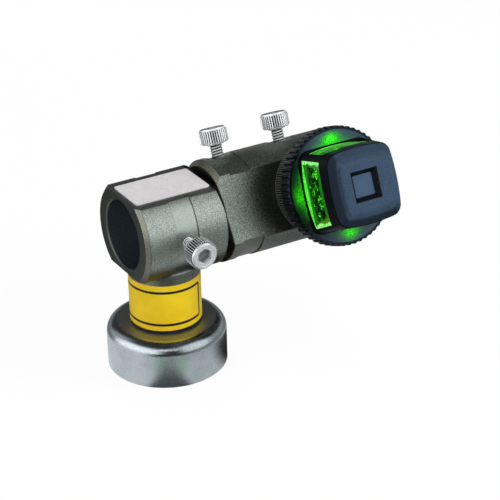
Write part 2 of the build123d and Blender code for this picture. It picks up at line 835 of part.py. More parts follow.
stem_front = flange_front - button_flange_height - button_travel - switch_stem_gap
with BuildPart() as tact_switch:
    with BuildSketch(head_plane.offset(switch_seat)):
        Rectangle(2 * switch_half, 2 * switch_half)
    extrude(amount=switch_height)
    with BuildSketch(head_plane.offset(switch_seat)):
        Circle(switch_stem_radius)
    extrude(amount=stem_front - switch_seat)
pieces["tact_switch"] = tact_switch

os.makedirs("parts", exist_ok=True)
for label, piece in pieces.items():
    piece.part.label = label
    export_step(piece.part, f"parts/{label}.step")
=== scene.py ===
import bmesh
import bpy
import json
import math
from functools import partial
from mathutils import Matrix, Vector


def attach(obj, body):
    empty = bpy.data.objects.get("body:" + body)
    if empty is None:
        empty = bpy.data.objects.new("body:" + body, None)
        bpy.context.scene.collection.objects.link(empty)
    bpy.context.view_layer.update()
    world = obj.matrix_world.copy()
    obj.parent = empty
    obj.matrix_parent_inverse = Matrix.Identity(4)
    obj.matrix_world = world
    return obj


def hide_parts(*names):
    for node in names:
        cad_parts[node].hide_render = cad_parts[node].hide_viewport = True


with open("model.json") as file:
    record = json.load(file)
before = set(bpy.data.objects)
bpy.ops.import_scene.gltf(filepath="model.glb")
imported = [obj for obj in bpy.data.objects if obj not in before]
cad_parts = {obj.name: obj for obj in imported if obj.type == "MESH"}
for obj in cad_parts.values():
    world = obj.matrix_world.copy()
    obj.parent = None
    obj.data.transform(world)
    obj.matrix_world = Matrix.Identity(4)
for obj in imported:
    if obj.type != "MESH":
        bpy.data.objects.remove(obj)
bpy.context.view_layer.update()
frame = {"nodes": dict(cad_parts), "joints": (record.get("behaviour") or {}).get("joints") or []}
nodes = frame["nodes"]
joints = {joint["name"]: joint for joint in frame["joints"]}
mm = 0.001
print("frame loaded:", len(nodes), "nodes")

# the tool's axes, from its joints
armAxis = Vector(joints["arm_tilt"]["axis"])
headAxis = Vector(joints["head_roll"]["axis"])
screwAxis = Vector(joints["tilt_turn"]["axis"])
headCentre = Vector(joints["head_roll"]["pos_m"])
armCentre = Vector((0, 0, headCentre.z))
upAxis = Vector((0, 0, 1))
backAxis = Vector((0, 1, 0))


# camera, floor and light

photoView = dict(
    azimuth=-30.04, elevation=27.11, roll=-1.26, distance=705.7 * mm,
    lens=134.15, sensor=36, clipStart=10 * mm, target=Vector((36.85, 0, 35.56)) * mm,
)


def aimCamera():
    azimuth, elevation, roll = (math.radians(photoView[k]) for k in ("azimuth", "elevation", "roll"))
    level = Vector((math.cos(azimuth), math.sin(azimuth), 0))
    out = math.cos(elevation)
    back = Vector((math.sin(azimuth) * out, -math.cos(azimuth) * out, math.sin(elevation)))
    rise = back.cross(level)
    right = level * math.cos(roll) + rise * math.sin(roll)
    up = rise * math.cos(roll) - level * math.sin(roll)
    lens = bpy.data.cameras.new("photoCamera")
    lens.lens = photoView["lens"]
    lens.sensor_width = photoView["sensor"]
    lens.clip_start = photoView["clipStart"]
    camera = bpy.data.objects.new("photoCamera", lens)
    bpy.context.scene.collection.objects.link(camera)
    turn = Matrix((right, up, back)).transposed().to_4x4()
    camera.matrix_world = Matrix.Translation(photoView["target"] + back * photoView["distance"]) @ turn
    bpy.context.scene.camera = camera


lamps = dict(
    keyPanel=dict(side=(0.70, -0.70, 0.62), away=0.75, wide=0.5, watts=5.0),
    leftPanel=dict(side=(-0.95, -0.5, 0.35), away=0.8, wide=0.5, watts=3.2),
    topPanel=dict(side=(0.15, -0.1, 1.0), away=0.9, wide=0.7, watts=3.0),
    backPanel=dict(side=(0.1, 0.95, 0.35), away=0.8, wide=0.5, watts=2.2),
)


def hangLamps():
    for name, lamp in lamps.items():
        panel = bpy.data.lights.new(name, "AREA")
        panel.size = lamp["wide"]
        panel.energy = lamp["watts"]
        holder = bpy.data.objects.new(name, panel)
        bpy.context.scene.collection.objects.link(holder)
        away = Vector(lamp["side"]).normalized()
        holder.location = photoView["target"] + away * lamp["away"]
        holder.rotation_mode = "QUATERNION"
        holder.rotation_quaternion = away.to_track_quat("Z", "Y")
        holder.visible_glossy = False


room = dict(
    horizon=0.26,
    overhead=0.12,
    skyRise=(0.0, 0.9),
    # what metal sees: the light of each screen, and for its edges where it is out and where it is full
    dark=0.05,
    screens=dict(
        right=(1.12, ("X", -0.15, 0.2), ("X", 0.94, 0.74), ("Y", -0.1, -0.4), ("Z", 0.88, 0.72)),
        left=(1.6, ("X", -0.5, -0.8), ("Z", 0.8, 0.6)),
        lampStrip=(1.8, ("X", 0.05, -0.2), ("Y", -0.35, -0.6), ("Z", 0.46, 0.52), ("Z", 0.66, 0.6)),
        behind=(0.4, ("Y", -0.1, 0.25), ("Z", 0.3, 0.03)),
        farRight=(0.4, ("X", 0.8, 0.95), ("Z", 0.8, 0.5)),
        farLeft=(0.5, ("X", -0.2, -0.4), ("Y", 0.3, 0.6), ("Z", 0.0, 0.1)),
    ),
)


def lightRoom():
    # white to the camera, screens in a dark room to metal and glass, softer as a light
    scene = bpy.context.scene
    scene.view_settings.view_transform = "Standard"
    world = bpy.data.worlds.new("studioWorld")
    world.use_nodes = True
    scene.world = world
    drawing["tree"] = world.node_tree
    feed = feeder(world.node_tree.nodes["Background"])
    camera, mirror = raySight()
    way = newNode("ShaderNodeTexCoord").outputs["Generated"]
    soft = fade(along(way, upAxis), *room["skyRise"], room["horizon"], room["overhead"])
    seen = mixValue(mirror, soft, roomSeen(way))
    feed("Strength", mixValue(camera, seen, 1.0))
    feed("Color", (1, 1, 1, 1))


def roomSeen(way):
    split = newNode("ShaderNodeSeparateXYZ")
    link(way, split.inputs[0])
    seen = room["dark"]
    for light, *edges in room["screens"].values():
        masks = [ramp(split.outputs[axis], out, full) for axis, out, full in edges]
        seen = larger(seen, times(both(*masks), light))
    return seen


def raySight():
    # the camera's own rays, and those that a surface mirrors or lets through
    path = newNode("ShaderNodeLightPath")
    mirror = larger(path.outputs["Is Glossy Ray"], path.outputs["Is Transmission Ray"])
    return path.outputs["Is Camera Ray"], mirror


ground = dict(
    size=6.0,
    drop=0.05 * mm,
    tone="#f4f4f3",
    rough=0.9,
    plain=0.94,  # how much of the floor is plain white to the camera
    bounce="#a9a9a8",  # the floor's colour as a light on the tool
    # the floor as the plated foot mirrors it, with painted shade and painted green glints that only
    # reflections show
    near=0.74, far=0.27, behind=0.2, left=0.88,
    farRange=(38 * mm, 70 * mm), backRange=(0.0, 40 * mm), leftTurn=(-0.6, -0.9),
    front=Vector((-0.44, -0.90, 0)),
    right=Vector((0.94, 0.34, 0)),
    wedge=dict(dark=0.84, start=23 * mm, turn=0.935, narrows=4.2, soft=(-0.04, 0.03)),
    ahead=dict(dark=0.85, turn=(0.8, 0.94), away=(48 * mm, 60 * mm)),
    beside=dict(dark=0.97, turn=(0.2, 0.7), away=(52 * mm, 36 * mm)),
    glints=(Vector((-24.7, -32.7, 0)) * mm, Vector((-4.9, -39.2, 0)) * mm),
    glintReach=(1.5 * mm, 6.5 * mm), glintShare=0.62, glintTone="#35f04a",
)


def layFloor():
    deselectAll()
    bpy.ops.mesh.primitive_plane_add(size=ground["size"], location=(0, 0, -ground["drop"]))
    floor = bpy.context.object
    floor.name = "studioFloor"
    finish, feed, spot = startFinish("paleFloor", ground["tone"], roughness=ground["rough"])
    camera, mirror = raySight()
    scattered = newNode("ShaderNodeLightPath").outputs["Is Diffuse Ray"]
    feed("Base Color", blend(scattered, ground["tone"], ground["bounce"]))
    glow = newNode("ShaderNodeEmission")
    shine = feeder(glow)
    # painted green glints of laser light on the floor, seen only in reflections
    glints = 0.0
    for centre in ground["glints"]:
        off = vectorCalc("LENGTH", vectorCalc("SUBTRACT", spot, centre))
        glints = plus(glints, fade(off, *ground["glintReach"], ground["glintShare"], 0.0))
    shine("Color", blend(times(glints, mirror), "#ffffff", ground["glintTone"]))
    shine("Strength", mixValue(mirror, 1.0, floorSeen(spot)))
    mix = newNode("ShaderNodeMixShader")
    wire(mix.inputs[0], larger(times(camera, ground["plain"]), mirror))
    link(finish.node_tree.nodes["Principled BSDF"].outputs[0], mix.inputs[1])
    link(glow.outputs[0], mix.inputs[2])
    link(mix.outputs[0], finish.node_tree.nodes["Material Output"].inputs["Surface"])
    floor.data.materials.append(finish)


def floorSeen(spot):
    seen = ground
    away = vectorCalc("LENGTH", spot)

    def facing(way):
        return over(along(spot, way), away)

    far = fade(away, *seen["farRange"])
    back = both(far, fade(along(spot, backAxis), *seen["backRange"]))
    light = mixValue(far, seen["near"], seen["far"])
    light = mixValue(back, light, seen["behind"])
    light = mixValue(ramp(facing(armAxis), *seen["leftTurn"]), light, seen["left"])
    # painted shade that only reflections show: a wedge that narrows away from the foot, the far floor in
    # front, the near floor at the right
    wedge = seen["wedge"]
    narrow = plus(wedge["turn"], times(minus(away, wedge["start"]), wedge["narrows"]))
    dim = fade(minus(facing(seen["front"]), narrow), *wedge["soft"], 0.0, wedge["dark"])
    for patch, way in (("ahead", "front"), ("beside", "right")):
        turn = fade(facing(seen[way]), *seen[patch]["turn"], 0.0, seen[patch]["dark"])
        dim = larger(dim, both(turn, ramp(away, *seen[patch]["away"])))
    return times(light, without(dim))


# small helpers for shader nodes

drawing = {"tree": None}


def newNode(kind):
    return drawing["tree"].nodes.new(kind)


def link(start, end):
    drawing["tree"].links.new(start, end)


def srgb(code):
    parts = [int(code[i:i + 2], 16) / 255 for i in (1, 3, 5)]
    return tuple(c / 12.92 if c <= 0.04045 else ((c + 0.055) / 1.055) ** 2.4 for c in parts) + (1.0,)


def startFinish(name, color, centre=(0, 0, 0), metallic=0.0, roughness=0.5):
    finish = bpy.data.materials.new(name)
    finish.use_nodes = True
    drawing["tree"] = finish.node_tree
    feed = feeder(finish.node_tree.nodes["Principled BSDF"])
    feed("Base Color", srgb(color))
    feed("Metallic", metallic)
    feed("Roughness", roughness)
    return finish, feed, place(centre)


def wire(socket, value):
    if isinstance(value, bpy.types.NodeSocket):
        link(value, socket)
    else:
        socket.default_value = value


def feeder(shader):
    return lambda name, value: wire(shader.inputs[name], value)


def calc(operation, first, second=0.0, clamp=False):
    node = newNode("ShaderNodeMath")
    node.operation = operation
    node.use_clamp = clamp
    wire(node.inputs[0], first)
    wire(node.inputs[1], second)
    return node.outputs[0]


plus, minus, times, over, larger, smaller = (
    partial(calc, kind) for kind in ("ADD", "SUBTRACT", "MULTIPLY", "DIVIDE", "MAXIMUM", "MINIMUM"))
falloff = partial(calc, "POWER", 2.718)
eitherSide = partial(calc, "ABSOLUTE")
without = partial(minus, 1.0)


def both(*masks):
    mask = masks[0]
    for other in masks[1:]:
        mask = times(mask, other)
    return mask


def vectorCalc(operation, first, second=None):
    node = newNode("ShaderNodeVectorMath")
    node.operation = operation
    wire(node.inputs[0], first)
    if second is not None:
        wire(node.inputs[1], second)
    return node.outputs["Value" if operation in ("DOT_PRODUCT", "LENGTH") else "Vector"]


def fade(value, start, end, low=0.0, high=1.0):
    node = newNode("ShaderNodeMapRange")
    node.interpolation_type = "SMOOTHSTEP"
    for socket, given in zip(node.inputs, (value, start, end, low, high)):
        wire(socket, given)
    return node.outputs["Result"]


def ramp(value, out, full):
    # 0 on the side of out, 1 on the side of full, whichever is larger
    if out < full:
        return fade(value, out, full)
    return fade(value, full, out, 1.0, 0.0)


def above(value, level, soft=0.05 * mm):
    return fade(value, level - soft, level + soft)


def between(value, low, high, soft=0.05 * mm):
    return calc("SUBTRACT", above(value, low, soft), above(value, high, soft), clamp=True)


def blend(amount, first, second, share=1.0):
    node = newNode("ShaderNodeMix")
    node.data_type = "RGBA"
    wire(node.inputs[0], amount if share == 1.0 else times(amount, share))
    wire(node.inputs[6], srgb(first) if isinstance(first, str) else first)
    wire(node.inputs[7], srgb(second) if isinstance(second, str) else second)
    return node.outputs[2]


def mottled(noise, first, second, span=(0.35, 0.7)):
    return blend(fade(noise, *span), first, second)


def uneven(noise, values, span=(0.2, 0.8)):
    return fade(noise, *span, *values)


def mixValue(amount, first, second):
    node = newNode("ShaderNodeMix")
    wire(node.inputs[0], amount)
    wire(node.inputs[2], first)
    wire(node.inputs[3], second)
    return node.outputs[0]


def place(centre):
    spot = newNode("ShaderNodeTexCoord").outputs["Object"]
    return vectorCalc("SUBTRACT", spot, centre)


def along(spot, way):
    return vectorCalc("DOT_PRODUCT", spot, way)


def offAxis(spot, way):
    return vectorCalc("LENGTH", vectorCalc("CROSS_PRODUCT", spot, way))


def turnedTo(way):
    return along(newNode("ShaderNodeTexCoord").outputs["Normal"], way)


def cloud(spot, size, detail=3.0, rough=0.55):
    node = newNode("ShaderNodeTexNoise")
    link(spot, node.inputs["Vector"])
    node.inputs["Scale"].default_value = 1 / size
    node.inputs["Detail"].default_value = detail
    node.inputs["Roughness"].default_value = rough
    return node.outputs[0]


def stripes(value, step):
    return calc("SINE", times(value, 2 * math.pi / step))


def relief(feed, height, depth, strength=1.0):
    node = newNode("ShaderNodeBump")
    node.inputs["Distance"].default_value = depth
    wire(node.inputs["Strength"], strength)
    link(height, node.inputs["Height"])
    feed("Normal", node.outputs["Normal"])


def cover(finish, feed, tone, noise, look, span=(0.2, 0.8)):
    feed("Base Color", tone)
    feed("Roughness", uneven(noise, look["rough"], span))
    if "shine" in look:
        feed("Specular IOR Level", look["shine"])
    relief(feed, noise, *look["relief"])
    return finish


# hammered paint of the two castings

casting = dict(
    socket=dict(
        paint="#a3ada8", fleck="#c9d2cd", pit="#909a95", band="#b0bab5", worn="#86877b",
        end="#3d433d", farEnd="#3d433d", shadeTone="#1c1e1b", flat="#464c4a", flatCover=0.85,
        bandRange=(-3.7 * mm, 4.9 * mm), ends=(-16.2 * mm, 17.4 * mm),
        chamfers=(1.5 * mm, 0.8 * mm), gapRange=(16.9 * mm, 17.3 * mm), underShade=0.93,
        bore=(13.0 * mm, 11.5 * mm),
    ),
    arm=dict(
        paint="#8c958f", fleck="#b6bfb8", pit="#767e78", band="#8d9587", worn="#7b7e70",
        # the end tone is painted shade on the low end, in the slot against the socket; the band lines use
        # it too
        end="#22241f", farEnd="#8a938b", shadeTone="#0d0f0c",
        bandRange=(23.9 * mm, 32.5 * mm), ends=(18.05 * mm, 75.05 * mm),
        chamfers=(2.0 * mm, 1.5 * mm), gapRange=(20.0 * mm, 19.2 * mm), underShade=0.45,
        ringShade=(18.5 * mm, 38 * mm, 0.76, 0.0), crown="#454b36",
    ),
    round=19.5 * mm, flatLevel=14.7 * mm,
    flatStep=0.12 * mm, skin=0.6 * mm, face=0.06 * mm, faceSoft=0.02 * mm, line=0.1 * mm,
    edge=0.55 * mm, edgeSoft=0.3 * mm, edgeGrain=(0.42, 0.62),
    gapLean=(-14 * mm, 13 * mm, -0.5 * mm, 1.5 * mm),
    underTurn=(-0.65, -0.12), crownTurn=(0.5, 0.9, 0.0, 0.22),
    cover=dict(band=0.7, lowEnd=1.0, highEnd=0.7, turned=1.0, edge=0.35, lines=0.55),
    grain=0.36 * mm, pits=(0.28, 0.5), flecks=(0.5, 0.72), wornGrain=(0.35, 0.6, 0.35, 0.0),
    clouds=9 * mm, cloudRange=(0.35, 0.75), cloudShare=0.1,
    metal=0.9, flatDull=0.2, roughFrom=0.23, roughGrain=0.16, roughSmooth=0.02,
    bandSmooth=0.8, reliefDepth=0.1 * mm, reliefFrom=0.8, reliefSmooth=0.66,
)

bore = dict(tone="#303a3f", light="#3b464c", rim="#4e5450", turning=0.9 * mm, dull=0.7,
            wall=0.06 * mm, rimWide=0.6 * mm, rimDeep=(0.02 * mm, 0.55 * mm))


def castingZones(look, run, radius, rise, fine):
    size = casting
    low, high = look["ends"]
    lowCut, highCut = look["chamfers"]
    flat = above(rise, size["flatLevel"] - size["flatStep"])
    barrel = without(flat)
    skin = above(radius, size["round"] - size["skin"])
    lowChamfer = between(run, low + size["face"], low + lowCut)
    highChamfer = between(run, high - highCut, high - size["face"])
    lines = 0.0
    for border in look["bandRange"] + (low + lowCut,):
        lines = plus(lines, between(run, border - size["line"], border + size["line"]))
    return dict(
        flat=flat,
        barrel=barrel,
        band=both(barrel, between(run, *look["bandRange"]), skin),
        lowEnd=without(above(run, low + size["face"], size["faceSoft"])),
        highEnd=above(run, high - size["face"], size["faceSoft"]),
        turned=both(barrel, larger(lowChamfer, highChamfer)),
        edge=both(above(radius, size["round"] - size["edge"], size["edgeSoft"]),
                  above(rise, size["flatLevel"] - size["edge"], size["edgeSoft"]),
                  fade(fine, *size["edgeGrain"])),
        lines=both(lines, barrel, skin),
    )


def boreZones(look, run, radius):
    boreRadius, boreFloor = look["bore"]
    wall = boreRadius + bore["wall"]
    rimNear, rimFar = (look["ends"][0] + deep for deep in bore["rimDeep"])
    inside = both(without(above(radius, wall)), without(above(run, boreFloor)))
    rim = both(between(radius, wall, boreRadius + bore["rimWide"]),
               between(run, rimNear, rimFar))
    return inside, rim


def castingFinish(name, look, flatWay):
    paint = casting
    finish, feed, spot = startFinish(name, look["paint"], armCentre)
    run = along(spot, armAxis)
    radius = offAxis(spot, armAxis)
    rise = eitherSide(along(spot, flatWay))
    fine = cloud(spot, paint["grain"], 0.0)
    broad = cloud(spot, paint["clouds"], 2.0)
    zones = castingZones(look, run, radius, rise, fine)

    # light flecks over dark pits, then the turned and worn places
    color = blend(fade(fine, *paint["pits"]), look["pit"], look["paint"])
    color = blend(fade(fine, *paint["flecks"]), color, look["fleck"])
    color = blend(fade(broad, *paint["cloudRange"]), color, look["pit"], paint["cloudShare"])
    if "flat" in look:
        color = blend(zones["flat"], color, look["flat"], look["flatCover"])
    wornTone = blend(fade(fine, *paint["wornGrain"]), look["worn"], look["end"])
    coats = dict(band=look["band"], lowEnd=look["end"], highEnd=look["farEnd"], turned=wornTone,
                 edge=look["worn"], lines=look["end"])
    for zone, tone in coats.items():
        color = blend(zones[zone], color, tone, paint["cover"][zone])

    # painted shade in the corner under the head's ring, in the slot between the castings and underneath
    if "ringShade" in look:
        apart = offAxis(place(headCentre), headAxis)
        shade = both(fade(apart, *look["ringShade"]), zones["flat"])
        color = blend(shade, color, look["shadeTone"])
    lean = fade(along(spot, screwAxis), *paint["gapLean"])
    color = blend(fade(plus(run, lean), *look["gapRange"]), color, look["shadeTone"])
    underShade = fade(turnedTo(upAxis), *paint["underTurn"], look["underShade"], 0.0)
    color = blend(underShade, color, look["shadeTone"])
    # painted shade: the arm's upper side turns darker olive
    if "crown" in look:
        crown = both(fade(turnedTo(screwAxis), *paint["crownTurn"]), zones["barrel"])
        color = blend(crown, color, look["crown"])

    smooth = larger(times(zones["band"], paint["bandSmooth"]), zones["turned"])
    metal = paint["metal"]
    if "flat" in look:
        metal = minus(metal, times(zones["flat"], look["flatCover"] * paint["flatDull"]))
    if "bore" in look:
        inside, rim = boreZones(look, run, radius)
        turning = fade(stripes(run, bore["turning"]), -1.0, 1.0)
        boreTone = blend(turning, bore["tone"], bore["light"])
        color = blend(inside, color, boreTone)
        color = blend(rim, color, bore["rim"])
        metal = minus(metal, times(inside, bore["dull"]))
        smooth = larger(smooth, larger(inside, rim))
    feed("Base Color", color)
    feed("Metallic", metal)
    rough = plus(times(fine, paint["roughGrain"]), paint["roughFrom"])
    feed("Roughness", minus(rough, times(smooth, paint["roughSmooth"])))
    strength = minus(paint["reliefFrom"], times(smooth, paint["reliefSmooth"]))
    relief(feed, fine, paint["reliefDepth"], strength)
    return finish


# bare plate, yellow band and neck

plate = dict(
    tone="#cbc8ca", pale="#d7d4d5", warm="#d3cccf", warmShare=0.35,
    fibre=1.6 * mm, clouds=11 * mm, rough=(0.32, 0.46), relief=(0.02 * mm, 0.3),
)


def plateFinish():
    finish, feed, spot = startFinish("barePlate", plate["tone"])
    fibre = cloud(spot, plate["fibre"], 4.0)
    broad = cloud(spot, plate["clouds"], 2.0)
    tone = mottled(fibre, plate["tone"], plate["pale"], (0.3, 0.7))
    tone = blend(fade(broad, 0.4, 0.7), tone, plate["warm"], plate["warmShare"])
    return cover(finish, feed, tone, fibre, plate)


band = dict(
    radius=13.8 * mm,
    faces=-141, halfSpan=89,  # degrees round the neck, middle and half of the printed frame
    low=19.2 * mm, high=37.7 * mm, marginLow=2.4 * mm, marginHigh=2.8 * mm,
    corner=0.9 * mm, line=1.0 * mm, lineSoft=0.07 * mm, lap=0.5 * mm,
    yellow="#f6d322", deep="#edc51a", faded="#f2da48", fadedShare=0.3, lapTone="#a8800f",
    ink="#16140d", inkWorn="#231f14",
    wear=2.2 * mm, clouds=12 * mm, shine=0.22, rough=(0.36, 0.48), relief=(0.02 * mm, 0.25),
)


def printedFrame(around, height):
    # a line that follows a rounded rectangle
    lowLine = band["low"] + band["marginLow"]
    highLine = band["high"] - band["marginHigh"]
    halfWide = math.radians(band["halfSpan"]) * band["radius"]

    def past(value, half):
        return minus(eitherSide(value), half - band["corner"])

    overWide = past(around, halfWide)
    overHigh = past(minus(height, (lowLine + highLine) / 2), (highLine - lowLine) / 2)
    outWide = larger(overWide, 0.0)
    outHigh = larger(overHigh, 0.0)
    reach = calc("SQRT", plus(times(outWide, outWide), times(outHigh, outHigh)))
    inner = smaller(larger(overWide, overHigh), 0.0)
    edge = eitherSide(minus(plus(reach, inner), band["corner"]))
    return without(above(edge, band["line"] / 2, band["lineSoft"]))


def bandFinish():
    finish, feed, spot = startFinish("yellowBand", band["deep"])
    facing = math.radians(band["faces"])
    front = along(spot, Vector((math.cos(facing), math.sin(facing), 0)))
    side = along(spot, Vector((-math.sin(facing), math.cos(facing), 0)))
    around = times(calc("ARCTAN2", side, front), band["radius"])
    worn = cloud(spot, band["wear"], 4.0)
    broad = cloud(spot, band["clouds"], 2.0)
    yellow = mottled(broad, band["yellow"], band["deep"])
    yellow = blend(fade(worn, 0.5, 0.75), yellow, band["faded"], band["fadedShare"])
    lap = above(eitherSide(around), math.pi * band["radius"] - band["lap"])
    yellow = blend(lap, yellow, band["lapTone"])
    ink = mottled(worn, band["ink"], band["inkWorn"], (0.4, 0.7))
    inked = printedFrame(around, along(spot, upAxis))
    return cover(finish, feed, blend(inked, yellow, ink), worn, band, (0.25, 0.75))


neck = dict(
    tone="#6d746b", dusty="#787f76", facedHighlight="#e6eae8", metal=0.75, facedMetal=0.25,
    top=41.7 * mm, face=0.06 * mm, faceSoft=0.03 * mm,
    dust=1.1 * mm, turning=0.28 * mm, rough=(0.28, 0.42), relief=(0.01 * mm, 0.35),
)


def neckFinish():
    finish, feed, spot = startFinish("darkNeck", neck["tone"])
    height = along(spot, upAxis)
    dust = cloud(spot, neck["dust"])
    # the machined top face, painted near white as a highlight
    facedHighlight = above(height, neck["top"] - neck["face"], neck["faceSoft"])
    tone = mottled(dust, neck["tone"], neck["dusty"])
    feed("Base Color", blend(facedHighlight, tone, neck["facedHighlight"]))
    feed("Metallic", fade(facedHighlight, 0.0, 1.0, neck["metal"], neck["facedMetal"]))
    feed("Roughness", uneven(dust, neck["rough"]))
    relief(feed, stripes(height, neck["turning"]), *neck["relief"])
    return finish


# rubber, plating, knurled metal and mouldings

rubber = dict(skin=0.4 * mm, rough=(0.58, 0.78), relief=(0.04 * mm, 0.4))


def rubberFinish(name, color, lighter):
    finish, feed, spot = startFinish(name, color)
    skin = cloud(spot, rubber["skin"], 2.0)
    return cover(finish, feed, mottled(skin, color, lighter, (0.35, 0.75)), skin, rubber)


cup = dict(
    side="#b0bcc2", cloudy="#a1adb4", fleck="#dfe3e6", fleckShare=0.6,
    top="#a0a4a6", topMetal=0.93, topRough=0.24, topLevel=17.9 * mm,
    edgeLevel=13.4 * mm, edgeSoft=0.6 * mm, grain=0.3 * mm, clouds=7 * mm,
    sideRough=(0.2, 0.34), edgeRough=(0.12, 0.2), roughRange=(0.3, 0.75),
    lathe=0.35 * mm, latheShare=0.08, relief=(0.05 * mm, 0.8),
)


def cupFinish():
    finish, feed, spot = startFinish("platedCup", cup["side"])
    height = along(spot, upAxis)
    grain = cloud(spot, cup["grain"], 3.0, 0.65)
    broad = cloud(spot, cup["clouds"])
    onTop = above(height, cup["topLevel"])
    onEdge = above(height, cup["edgeLevel"], cup["edgeSoft"])
    tone = mottled(broad, cup["side"], cup["cloudy"])
    tone = blend(fade(grain, 0.45, 0.65), tone, cup["fleck"], cup["fleckShare"])
    feed("Base Color", blend(onTop, tone, cup["top"]))
    feed("Metallic", fade(onTop, 0.0, 1.0, 1.0, cup["topMetal"]))
    rough = mixValue(onEdge, uneven(grain, cup["sideRough"], cup["roughRange"]),
                     uneven(broad, cup["edgeRough"], cup["roughRange"]))
    feed("Roughness", plus(rough, times(onTop, cup["topRough"])))
    lathe = times(stripes(offAxis(spot, upAxis), cup["lathe"]), cup["latheShare"])
    bumps = plus(times(grain, without(onTop)), times(lathe, onTop))
    relief(feed, bumps, *cup["relief"])
    return finish


plated = dict(grain=0.5 * mm, clouds=3.5 * mm, rougher=(-0.05, 0.1), relief=(0.015 * mm, 0.3))


def platedFinish(name, color, cloudy, roughness):
    finish, feed, spot = startFinish(name, color, metallic=1.0)
    grain = cloud(spot, plated["grain"])
    broad = cloud(spot, plated["clouds"], 2.0)
    look = {"rough": [roughness + more for more in plated["rougher"]], "relief": plated["relief"]}
    return cover(finish, feed, mottled(broad, color, cloudy), grain, look, (0.25, 0.75))


knurled = dict(grain=0.4 * mm, roughGrain=0.12, roughDeep=0.25, roughLess=0.06)


def knurledFinish(name, color, cloudy, dark, metallic, roughness, valley=(0.4, 0.98)):
    # painted shade from the groove attribute: 1 in valleys and thread roots, less in hex sockets, slots
    # and the top faces of the tilt and roll screws
    finish, feed, spot = startFinish(name, color, metallic=metallic)
    grain = cloud(spot, knurled["grain"])
    broad = cloud(spot, plated["clouds"], 2.0)
    groove = newNode("ShaderNodeAttribute")
    groove.attribute_name = "groove"
    deep = fade(groove.outputs["Fac"], *valley)
    tone = mottled(broad, color, cloudy)
    feed("Base Color", blend(deep, tone, dark))
    rough = plus(times(grain, knurled["roughGrain"]), times(deep, knurled["roughDeep"]))
    feed("Roughness", plus(rough, roughness - knurled["roughLess"]))
    relief(feed, grain, *plated["relief"])
    return finish


moulded = dict(clouds=8 * mm, cloudShare=0.3, range=(0.4, 0.75), rougher=(-0.07, 0.09), relief=0.5)


def mouldedFinish(name, color, lighter, roughness, grain=0.35 * mm, depth=0.03 * mm, shine=0.2,
                  tint="#ffffff"):
    finish, feed, spot = startFinish(name, color)
    skin = cloud(spot, grain, 2.0)
    broad = cloud(spot, moulded["clouds"], 2.0)
    tone = mottled(skin, color, lighter, moulded["range"])
    tone = blend(fade(broad, *moulded["range"]), tone, lighter, moulded["cloudShare"])
    feed("Specular Tint", srgb(tint))
    rough = [roughness + more for more in moulded["rougher"]]
    look = {"rough": rough, "shine": shine, "relief": (depth, moulded["relief"])}
    return cover(finish, feed, tone, skin, look)


# the head's crown, dish and windows

cap = dict(
    navy="#2b3b4d", navyLight="#394d62", shade="#141c26", wellShade="#0a0e13",
    wellHalf=5.55 * mm, wellHalfSoft=0.08 * mm, wellTop=50.72 * mm, wellTopSoft=0.06 * mm,
    skin=0.42 * mm, skinRange=(0.3, 0.72),
    clouds=8 * mm, cloudRange=(0.4, 0.75), cloudShare=0.25,
    leftTurn=(-0.2, -0.02, 1.0, 0.0), downTurn=(-0.3, -0.03, 1.0, 0.0),
    upTurn=(0.02, 0.2, 0.0, 0.5), shadeShare=0.92,
    shine=0.14, rough=(0.5, 0.66), relief=(0.025 * mm, 0.5),
)


def headSides(spot):
    return [eitherSide(along(spot, way)) for way in (armAxis, screwAxis)]


def capFinish():
    finish, feed, spot = startFinish("navySkin", cap["navy"], headCentre)
    outward = larger(*headSides(spot))
    skin = cloud(spot, cap["skin"], 1.0)
    broad = cloud(spot, cap["clouds"], 2.0)
    tone = mottled(skin, cap["navy"], cap["navyLight"], cap["skinRange"])
    clouds = fade(broad, *cap["cloudRange"])
    tone = blend(clouds, tone, cap["navyLight"], cap["cloudShare"])
    # painted shade where the slopes turn left, down or up
    sloped = larger(fade(turnedTo(armAxis), *cap["leftTurn"]),
                    fade(turnedTo(screwAxis), *cap["downTurn"]))
    sloped = larger(sloped, fade(turnedTo(screwAxis), *cap["upTurn"]))
    tone = blend(sloped, tone, cap["shade"], cap["shadeShare"])
    # painted shade in the recess round the button
    wellShade = both(without(above(outward, cap["wellHalf"], cap["wellHalfSoft"])),
                without(above(along(spot, headAxis), cap["wellTop"], cap["wellTopSoft"])))
    return cover(finish, feed, blend(wellShade, tone, cap["wellShade"]), skin, cap)


dish = dict(
    tone="#2d3a4a", light="#374658", dark="#070d0b", green="#2bd408",
    # painted light at the foot of each window, and the lobe that it throws
    foot=16.0 * mm, fall=1.2 * mm, stripEnds=(3 * mm, 11 * mm, 1.0, 0.0),
    stripGain=(-16 * mm, -8 * mm, 0.06, 0.4),
    lobe=17.5 * mm, spread=3.0 * mm, reach=1.9 * mm,
    lobeGain=(8 * mm, 14 * mm, 1.2, 1.9), lobeGainLeft=(-14 * mm, -8 * mm, -0.4, 0.0),
    leftShade=(-19 * mm, -5 * mm, 0.93, 0.0), litDark=(0.05, 0.8, 0.0, 0.9),
    skin=0.4 * mm, spark=0.55 * mm, sparkGain=(0.34, 0.66, 0.3, 1.5),
    shine=0.3, rough=(0.4, 0.56), relief=(0.03 * mm, 0.4),
)


